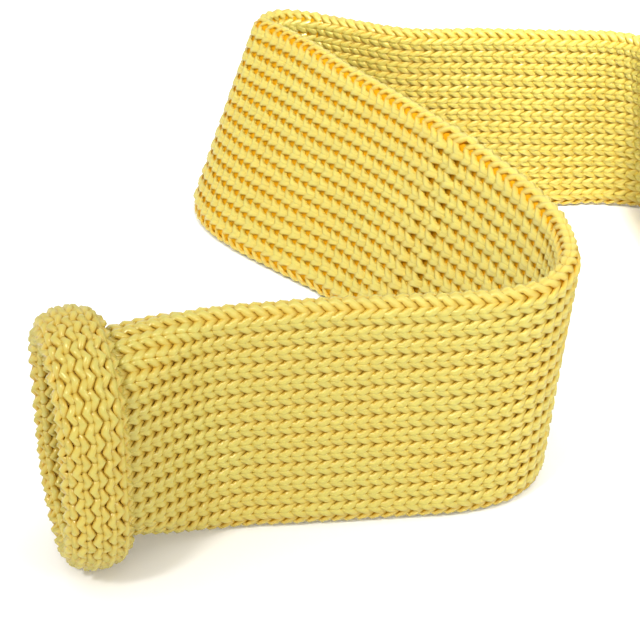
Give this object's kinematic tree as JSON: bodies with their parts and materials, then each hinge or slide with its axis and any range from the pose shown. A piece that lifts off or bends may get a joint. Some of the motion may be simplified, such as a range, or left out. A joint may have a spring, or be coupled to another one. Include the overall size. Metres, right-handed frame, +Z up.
{
  "type": "martial arts belt",
  "caption": "Flattened tube of plain knit, standing on its edge in a zig-zag, with rolled cuff ends and the spare length wound in a roll.",
  "frame": {"origin": "middle of the belt's footprint, on the surface that it stands on", "axes": "+Z up the strap's width, +X from the near cuff towards the stored roll, +Y away from the front leg"},
  "size_m": [0.2472, 0.1778, 0.0468],
  "materials": {
    "knit": "satin filament yarn, plain knit"
  },
  "bodies": {
    "middle": {"right_bend_back": "knit", "middle_leg": "knit", "left_fold_front": "knit"},
    "front": {"front_leg": "knit", "right_bend_front": "knit"},
    "cuff_end": {"near_cuff": "knit", "near_mouth": "knit"},
    "back": {"left_fold_back": "knit", "back_leg": "knit", "third_bend_front": "knit"},
    "store": {"roll_lead_in": "knit", "stored_roll": "knit", "far_tail": "knit", "far_mouth": "knit", "far_cuff": "knit"}
  },
  "joints": [
    {"name": "right_bend", "type": "hinge", "parent": "middle", "child": "front", "pos_m": [-0.03246, -0.0472, 0.0225], "axis": [0, 0, 1], "range_deg": [-35, 50]},
    {"name": "neck_bend", "type": "hinge", "parent": "front", "child": "cuff_end", "pos_m": [-0.08976, -0.0649, 0.0225], "axis": [0, 0, 1], "range_deg": [-15, 15]},
    {"name": "left_fold", "type": "hinge", "parent": "middle", "child": "back", "pos_m": [-0.09476, 0.0706, 0.0225], "axis": [0, 0, 1], "range_deg": [-12, 35]},
    {"name": "third_bend", "type": "hinge", "parent": "back", "child": "store", "pos_m": [0.00174, 0.0644, 0.0225], "axis": [0, 0, 1], "range_deg": [-15, 20]}
  ]
}
